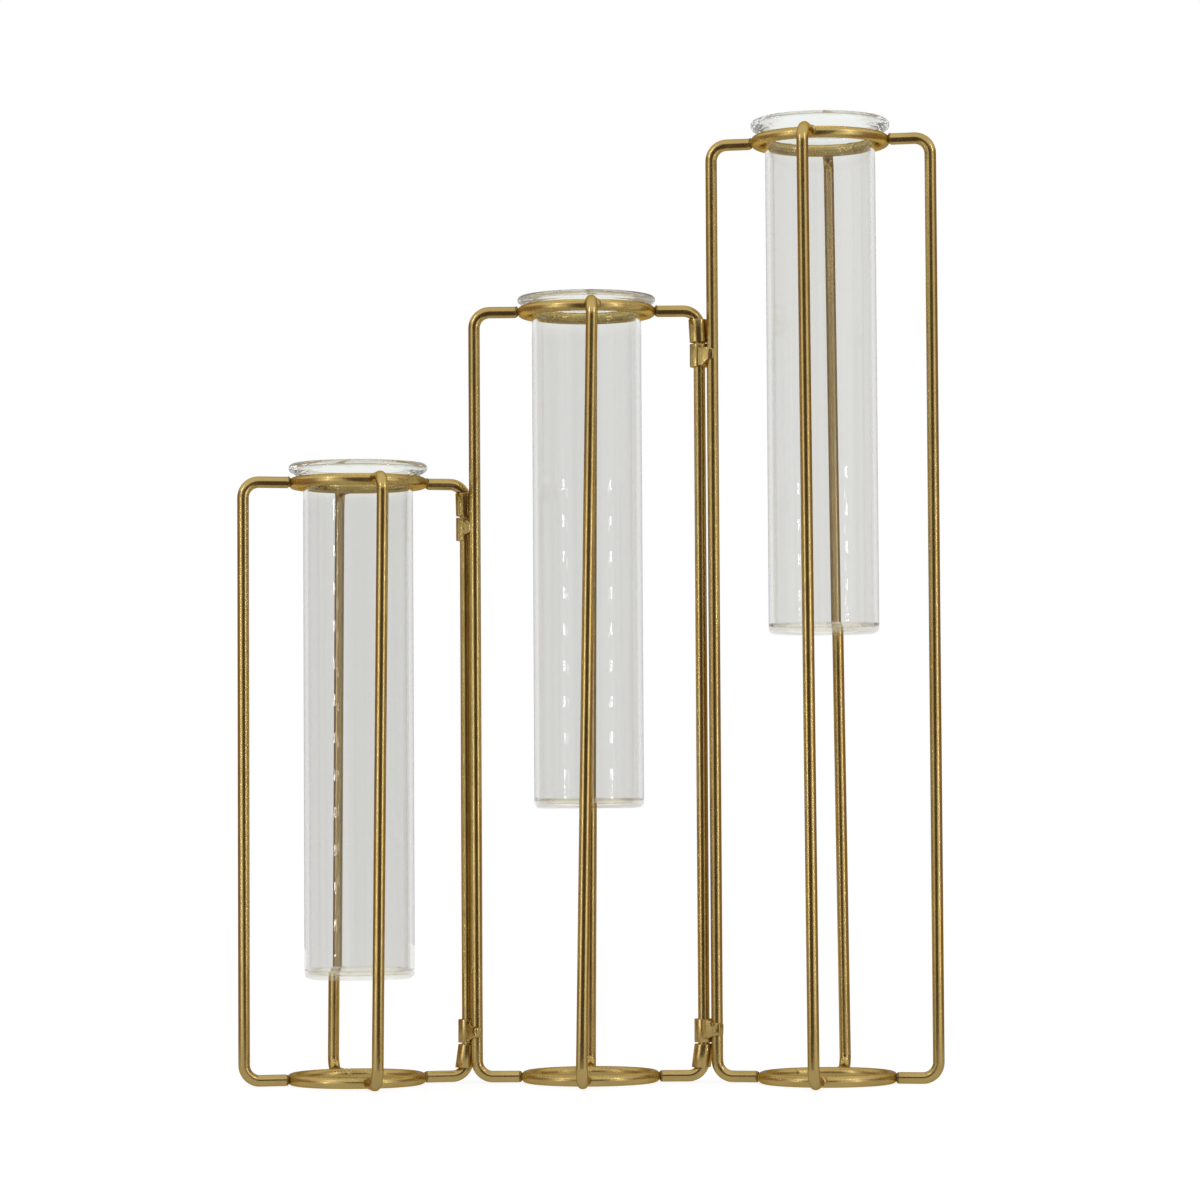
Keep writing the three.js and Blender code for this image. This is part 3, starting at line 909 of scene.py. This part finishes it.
class VASEROW_OT_weld_arms(Operator):
    """Welds the arms of the legs to the rings"""

    bl_idname = "vaserow.weld_arms"
    bl_label = "Weld Arms"

    def set_nugget(self, place, outward, side_step):
        """Sets the nugget of a front arm and gives its paint."""
        weld = settings().weld
        set_blob(place + UP.cross(outward) * side_step + UP * weld.nugget_lift, outward, weld.nugget)
        return weld_paint()

    def set_neck(self, place, outward, lift):
        """Sets the weld neck of another arm and gives its paint, darkened as painted shade of the crevice
        between arm and ring.
        """
        weld = settings().weld
        set_blob(place + outward * weld.neck_step + UP * lift, outward, weld.neck)
        return crevice_shade_paint()

    def execute(self, context):
        weld = settings().weld
        for stand, top_step, base_step in zip(STANDS, weld.top_steps, weld.base_steps):
            for side in LEG_BEARINGS:
                for end, side_step, lift in (("top", top_step, weld.neck_lift), ("base", base_step, 0.0)):
                    place, outward = weld_place(stand, side, end)
                    if side == "front":
                        paint = self.set_nugget(place, outward, side_step)
                    else:
                        paint = self.set_neck(place, outward, lift)
                    roughen(weld.roughness)
                    body = carrier(f"{stand}_{side}_leg")
                    hand_over(f"{stand}_{side}_{end}_weld", body, "gold_sleeve", paint)
        return {"FINISHED"}


# Hinges

def start_sleeve(place, low, high):
    """Sets the solid blank of a sleeve between two heights, open for editing."""
    deselect()
    bpy.ops.mesh.primitive_cylinder_add(
        vertices=SLEEVE_SIDES, radius=settings().hinge.radius, depth=high - low,
        location=(place.x, place.y, (low + high) / 2),
    )
    settle()


def round_sleeve_edges():
    """Rounds the sharp edges of a sleeve that is open for editing."""
    select("EDGE", lambda edge: edge.calc_face_angle(0) > SHARP_ANGLE)
    bpy.ops.mesh.bevel(offset=settings().hinge.chamfer, segments=SLEEVE_EDGE_STEPS, affect="EDGES")


class VASEROW_OT_slip_collars(Operator):
    """Slips the stop collars on the hinge pins"""

    bl_idname = "vaserow.slip_collars"
    bl_label = "Slip Stop Collars"

    def execute(self, context):
        hinge = settings().hinge
        leans = iter(hinge.leans)
        for name, (joint, pin_stand, _) in HINGES.items():
            arm = level(stand_turn(pin_stand) + math.pi)
            draw_leg(pin_stand, "right", hinge.bore, chamfer=0.0, arm_gap=0.0)
            grip = bpy.context.object
            for end, lean_end in (("upper", 1), ("lower", -1)):
                node = f"{name}_{end}_stop_collar"
                low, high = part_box(node)
                middle = (low.z + high.z) / 2
                start_sleeve(pin_place(joint), low.z, high.z)
                round_sleeve_edges()
                select("VERT", lambda vertex: (vertex.co.z - middle) * lean_end > 0)
                bpy.ops.transform.translate(value=arm * next(leans))
                close_up()
                apply_modifier("BOOLEAN", operation="DIFFERENCE", object=grip, solver="EXACT")
                hand_over(f"{node}_sleeve", carrier(node), "gold_sleeve", wire_paint(), node)
            bpy.data.objects.remove(grip)
        return {"FINISHED"}


class VASEROW_OT_set_knuckles(Operator):
    """Sets the knuckle sleeves on the pins and welds them to the legs that carry them"""

    bl_idname = "vaserow.set_knuckles"
    bl_label = "Set Knuckles"

    def bore_sleeve(self, place, low, high):
        """Makes a plain bored sleeve with rounded edges and leaves it active."""
        hinge = settings().hinge
        start_sleeve(place, low, high)
        select("FACE", lambda face: len(face.verts) > 4)
        bpy.ops.mesh.inset(thickness=hinge.radius - hinge.bore)
        bpy.ops.mesh.delete(type="FACE")
        select("EDGE", lambda edge: len(edge.link_faces) == 1)
        bpy.ops.mesh.bridge_edge_loops()
        round_sleeve_edges()
        close_up()

    def draw_web(self, stations):
        """Draws a weld's block along X, by its front, foot and top at each station, and leaves it active."""
        weld = settings().weld
        deselect()
        bpy.ops.mesh.primitive_plane_add(size=1, rotation=(0, math.pi / 2, 0))
        settle()
        centre = Vector()
        depth = height = 1.0
        for index, (along, front, low, top) in enumerate(stations):
            place = Vector((along, (weld.hinge_back - front) / 2, (low + top) / 2))
            if index == 0:
                bpy.ops.transform.translate(value=place)
            else:
                draw_on(place - centre)
            scale_about(place, (1, (front + weld.hinge_back) / depth, (top - low) / height))
            centre, depth, height = place, front + weld.hinge_back, top - low
        bpy.ops.mesh.select_all(action="SELECT")
        bpy.ops.mesh.bevel(offset=weld.hinge_edge, segments=WELD_EDGE_STEPS, affect="EDGES")
        close_up()

    def weld(self, pin, leg, sleeve_height, shape, craters):
        """Lays a flat weld with its craters from a knuckle over the front of its leg and leaves it active."""
        weld = settings().weld
        hinge = settings().hinge
        sleeve_front, sleeve_low, sleeve_top, *leg_sizes, leg_lap = shape
        span = (leg - pin).length
        self.draw_web((
            (weld.hinge_root, sleeve_front, sleeve_low, sleeve_top),
            (hinge.radius, sleeve_front, sleeve_low, sleeve_top),
            (span, *leg_sizes),
            (span + leg_lap, *(size * weld.hinge_end for size in leg_sizes)),
        ))
        web = bpy.context.object
        middle = pin + UP * sleeve_height
        seat = turned_along(middle, leg - pin)
        web.matrix_world = seat
        fix_place()
        apply_modifier("SUBSURF", levels=WELD_SMOOTHING)
        roughen(weld.hinge_roughness)
        deselect()
        bpy.ops.mesh.primitive_cylinder_add(
            vertices=SLEEVE_SIDES, radius=hinge.bore, depth=BORE_TOOL_LENGTH, location=middle,
        )
        cut_away(web)
        for along, before, above, half_wide, half_tall in craters:
            place = seat @ Vector((mm(along), mm(-before), mm(above)))
            set_blob(place, leg - pin, (mm(half_wide), mm(half_wide), mm(half_tall)))
            cut_away(web)

    def execute(self, context):
        weld = settings().weld
        shapes = iter(zip(
            weld.sleeve_depths, weld.sleeve_lows, weld.sleeve_tops,
            weld.leg_depths, weld.leg_lows, weld.leg_tops, weld.leg_laps,
        ))
        for name, (joint, _, stand) in HINGES.items():
            pin = pin_place(joint)
            corner = foot_corner_place(stand, "left")
            leg = Vector((corner.x, corner.y, 0))
            for end in ("upper", "lower"):
                node = f"{name}_{end}_knuckle"
                low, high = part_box(node)
                self.bore_sleeve(pin, low.z, high.z)
                hand_over(f"{node}_sleeve", carrier(node), "gold_sleeve", wire_paint(), node)
                craters = CRATERS.get(f"{name}_{end}", ())
                self.weld(pin, leg, (low.z + high.z) / 2, next(shapes), craters)
                hand_over(f"{node}_weld", carrier(node), "gold_sleeve", hinge_weld_paint())
        return {"FINISHED"}


# Glass

def arc(centre, radius, start, stop, steps):
    """Points of an arc of a profile, as radius and height."""
    angles = [start + (stop - start) * step / steps for step in range(steps + 1)]
    return [(centre[0] + radius * math.cos(angle), centre[1] + radius * math.sin(angle)) for angle in angles]


def wall(radius, start, stop):
    """Points of a straight wall of a profile between two heights, without its ends."""
    return [(radius, start + (stop - start) * step / WALL_STEPS) for step in range(1, WALL_STEPS)]


def tube_profile(length, bead, flare):
    """Profile of a tube from the dish under its floor, over the lip, to the floor inside."""
    glass = settings().glass
    right = math.pi / 2
    bead_radius = glass.radius + glass.overhang - bead
    bead_height = length - bead
    flare_radius = (bead_radius - glass.radius + bead * math.cos(flare)) / (1 - math.cos(flare))
    flare_height = bead_height - (flare_radius + bead) * math.sin(flare)
    flare_centre = (glass.radius + flare_radius, flare_height)
    inner_flare = flare_radius + glass.wall
    inner_slope = flare * (1 - bead / flare_radius)
    foot = glass.radius - glass.corner
    inner_radius = glass.radius - glass.wall
    inner_foot = inner_radius - glass.inner_corner
    inner_base = glass.floor + glass.inner_corner
    return [
        *((foot * out, glass.punt * up) for out, up in DISH_BELOW),
        *arc((foot, glass.corner), glass.corner, -right, 0, CORNER_STEPS),
        *wall(glass.radius, glass.corner, flare_height),
        *arc(flare_centre, flare_radius, math.pi, math.pi - flare, FLARE_STEPS),
        *arc((bead_radius, bead_height), bead, -flare, math.pi - flare / 2, BEAD_STEPS)[1:],
        *arc(flare_centre, inner_flare, math.pi - inner_slope, math.pi, FLARE_STEPS),
        *wall(inner_radius, flare_height, inner_base),
        *arc((inner_foot, inner_base), glass.inner_corner, 0, -right, INNER_CORNER_STEPS),
        *((inner_foot * out, glass.floor + glass.punt * up) for out, up in DISH_INSIDE),
    ]


class VASEROW_OT_blow_tubes(Operator):
    """Draws the glass tubes up their profile, over the lip and down inside"""

    bl_idname = "vaserow.blow_tubes"
    bl_label = "Blow Tubes"

    def execute(self, context):
        shapes = settings().glass
        for stand, bead, flare, backdrop_shade in zip(STANDS, shapes.beads, shapes.flares, settings().finish.backdrop_shades):
            node = f"{stand}_glass_tube"
            low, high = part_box(node)
            axis = centre_of(node)
            profile = tube_profile(high.z - low.z, bead, flare)
            radius, height = profile[0]
            start_disc(TUBE_SIDES, radius, (axis.x, axis.y, low.z + height))
            for next_radius, next_height in profile[1:]:
                draw_on((0, 0, next_height - height))
                factor = next_radius / radius
                scale_about((axis.x, axis.y, low.z + next_height), (factor, factor, 1))
                radius, height = next_radius, next_height
            close_up()
            glass = finish_named(f"{stand}_clear_glass", clear_glass, backdrop_shade, bead, low.z, high.z)
            hand_over(f"{stand}_tube_glass", carrier(node), "clear_glass", glass, node)
        return {"FINISHED"}


# Stage

def glow_finish(name, strength, colour=WHITE, matt=0.0):
    """A plain glow, white unless a colour is given, over a matt share if wished."""
    material = bpy.data.materials.new(name)
    material.use_nodes = True
    material.node_tree.nodes.clear()
    nodes = NodeDesk(material.node_tree)
    glow = {"Color": solid_colour(colour), "Strength": strength}
    surface = nodes.add("ShaderNodeEmission", glow)["Emission"]
    if matt:
        matt_share = nodes.add("ShaderNodeBsdfDiffuse", {"Color": solid_colour([matt] * 3)})["BSDF"]
        surface = nodes.add("ShaderNodeAddShader", {0: surface, 1: matt_share})["Shader"]
    nodes.add("ShaderNodeOutputMaterial", {"Surface": surface})
    return material


def show_in_reflections_only(name, strength, colour=WHITE, through_glass=False):
    """Makes the active card a stage piece seen in reflections, and through glass if wished."""
    card = bpy.context.object
    card.name = name
    card.data.materials.append(glow_finish(name, strength, colour))
    card.visible_camera = False
    card.visible_diffuse = False
    card.visible_shadow = False
    card.visible_transmission = through_glass


class VASEROW_OT_set_stage(Operator):
    """Lays the floor, hangs the light and sets the camera"""

    bl_idname = "vaserow.set_stage"
    bl_label = "Set Stage"

    def lay_floor(self, stage):
        """A white floor that keeps a faint shadow."""
        deselect()
        bpy.ops.mesh.primitive_plane_add(size=stage.floor_size)
        floor = bpy.context.object
        floor.name = "studio_floor"
        white = glow_finish("studio_floor_white", stage.floor_glow, matt=stage.floor_colour)
        floor.data.materials.append(white)

    def hang_flag(self, name, bearings, radii, height, strength, colour=WHITE):
        """A curved flag round the row between two bearings, from a foot circle up and out to a top circle."""
        middle = level(sum(bearings) / 2)
        spread = abs(bearings[1] - bearings[0]) / 2
        foot, top = radii
        lift = settings().stage.flag_lift
        deselect()
        bpy.ops.mesh.primitive_circle_add(vertices=CARD_SIDES, radius=foot, location=(0, 0, lift))
        settle()
        select("EDGE", lambda edge: True)
        draw_on((0, 0, height))
        scale_about((0, 0, height), (top / foot, top / foot, 1))

        def outside(face):
            centre = face.calc_center_median()
            return Vector((centre.x, centre.y, 0)).angle(middle) > spread

        select("FACE", outside)
        bpy.ops.mesh.delete(type="FACE")
        bpy.ops.object.mode_set(mode="OBJECT")
        show_in_reflections_only(name, strength, colour)

    def lay_card(self, name, radius, height, strength):
        """A level round card over or under the row."""
        start_disc(CARD_SIDES, radius, (0, 0, height))
        bpy.ops.object.mode_set(mode="OBJECT")
        show_in_reflections_only(name, strength)

    def set_lamp(self, bearing, height, size):
        """Sets the face of a lamp that looks at the row and leaves it active."""
        outward = level(bearing)
        place = outward * settings().stage.ladder_distance + UP * height
        deselect()
        bpy.ops.mesh.primitive_plane_add(size=1, location=place, rotation=facing(-outward))
        bpy.context.object.scale = (*size, 1)
        fix_place()

    def stand_ladder(self, name, bearing, stage):
        """A ladder of small lamps, one above the other."""
        self.set_lamp(bearing, stage.ladder_foot, stage.lamp_size)
        apply_modifier(
            "ARRAY", count=stage.lamp_count, use_relative_offset=False, use_constant_offset=True,
            constant_offset_displace=(0, 0, stage.lamp_step),
        )
        show_in_reflections_only(name, stage.ladder, through_glass=True)

    def hang_strip(self, name, bearing, stage):
        """An upright strip lamp above a ladder."""
        self.set_lamp(bearing, stage.strip_height, stage.strip_size)
        show_in_reflections_only(name, stage.strip, through_glass=True)

    def light(self, stage):
        """A white world round the stage and a soft box overhead."""
        world = bpy.data.worlds.new("white_studio")
        bpy.context.scene.world = world
        world.use_nodes = True
        world.cycles.sampling_method = "NONE"
        nodes = NodeDesk(world.node_tree)
        path = nodes.add("ShaderNodeLightPath")
        seen = nodes.reckon("MAXIMUM", path["Is Camera Ray"], path["Is Glossy Ray"])
        shown = nodes.reckon("MAXIMUM", seen, path["Is Transmission Ray"])
        strength = nodes.ramp(shown, low=0.0, high=1.0, start=stage.fill)
        nodes.join(world.node_tree.nodes["Background"], {"Color": solid_colour(WHITE), "Strength": strength})
        deselect()
        bpy.ops.object.light_add(type="AREA", location=(0, 0, stage.soft_box_height))
        lamp = bpy.context.object
        lamp.name = "overhead_soft_box"
        lamp.data.size = stage.soft_box_size
        lamp.data.energy = stage.soft_box
        lamp.visible_glossy = False

    def set_camera(self, stage):
        """The camera of the picture."""
        yaw, pitch, roll = stage.camera_turns
        turn = (
            Matrix.Rotation(yaw, 4, "Z")
            @ Matrix.Rotation(math.pi / 2 + pitch, 4, "X")
            @ Matrix.Rotation(roll, 4, "Z")
        )
        deselect()
        bpy.ops.object.camera_add(location=stage.camera_place, rotation=turn.to_euler())
        camera = bpy.context.object
        camera.name = "photo_camera"
        camera.data.lens = stage.lens
        bpy.context.scene.camera = camera

    def execute(self, context):
        stage = settings().stage
        self.lay_floor(stage)
        self.light(stage)
        front = LEG_BEARINGS["front"]
        near, wide, aft, rear = stage.flag_bearings
        ahead = (front - near, front + near)
        high = stage.ceiling_height
        warm = stage.flag_colour
        self.hang_flag("front_flag", ahead, stage.flag_radii, high, stage.front, warm)
        self.hang_flag(
            "front_floor_flag", ahead, stage.floor_flag_radii, stage.floor_flag_rise, stage.front, warm,
        )
        for name, sign in (("left", -1), ("right", 1)):
            card, flag, back = (
                (front + sign * start, front + sign * end)
                for start, end in ((near, wide), (wide, aft), (aft, rear))
            )
            self.hang_flag(f"{name}_side_card", card, stage.card_radii, high, stage.grey)
            self.hang_flag(f"{name}_side_flag", flag, stage.flag_radii, high, stage.side, warm)
            self.hang_flag(f"{name}_back_card", back, stage.card_radii, high, stage.rear)
            self.stand_ladder(f"{name}_ladder", front + sign * stage.ladder_bearing, stage)
            self.hang_strip(f"{name}_strip", front + sign * stage.ladder_bearing, stage)
        self.lay_card("ceiling_card", stage.ceiling_radius, high, stage.ceiling)
        self.lay_card("floor_card", stage.floor_card_radius, stage.floor_card_lift, stage.floor_card)
        self.set_camera(stage)
        context.scene.view_settings.view_transform = "Standard"
        return {"FINISHED"}


OPERATORS = (
    VASEROW_OT_bend_legs,
    VASEROW_OT_roll_rings,
    VASEROW_OT_weld_arms,
    VASEROW_OT_slip_collars,
    VASEROW_OT_set_knuckles,
    VASEROW_OT_blow_tubes,
    VASEROW_OT_set_stage,
)


class VASEROW_PT_panel(Panel):
    """Steps and settings of the vase row"""

    bl_idname = "VASEROW_PT_panel"
    bl_label = "Vase Row"
    bl_space_type = "VIEW_3D"
    bl_region_type = "UI"
    bl_category = "Vase Row"

    def draw(self, context):
        for operator in OPERATORS:
            self.layout.operator(operator.bl_idname)
        row = context.scene.vase_row
        for group in (row.wire, row.weld, row.hinge, row.glass, row.finish, row.stage):
            box = self.layout.box()
            for name in group.bl_rna.properties.keys():
                if name not in ("rna_type", "name"):
                    box.prop(group, name)


CLASSES = (
    WireSettings,
    WeldSettings,
    HingeSettings,
    GlassSettings,
    FinishSettings,
    StageSettings,
    VaseRowSettings,
    *OPERATORS,
    VASEROW_PT_panel,
)


def register():
    """Registers the classes and hangs the settings on the scene."""
    for entry in CLASSES:
        bpy.utils.register_class(entry)
    bpy.types.Scene.vase_row = PointerProperty(type=VaseRowSettings)


def unregister():
    """Takes the settings and classes away again."""
    del bpy.types.Scene.vase_row
    for entry in reversed(CLASSES):
        bpy.utils.unregister_class(entry)


def main():
    """Makes the row."""
    register()
    bpy.ops.vaserow.bend_legs()
    bpy.ops.vaserow.roll_rings()
    bpy.ops.vaserow.weld_arms()
    bpy.ops.vaserow.slip_collars()
    bpy.ops.vaserow.set_knuckles()
    bpy.ops.vaserow.blow_tubes()
    bpy.ops.vaserow.set_stage()


if __name__ == "__main__":
    main()
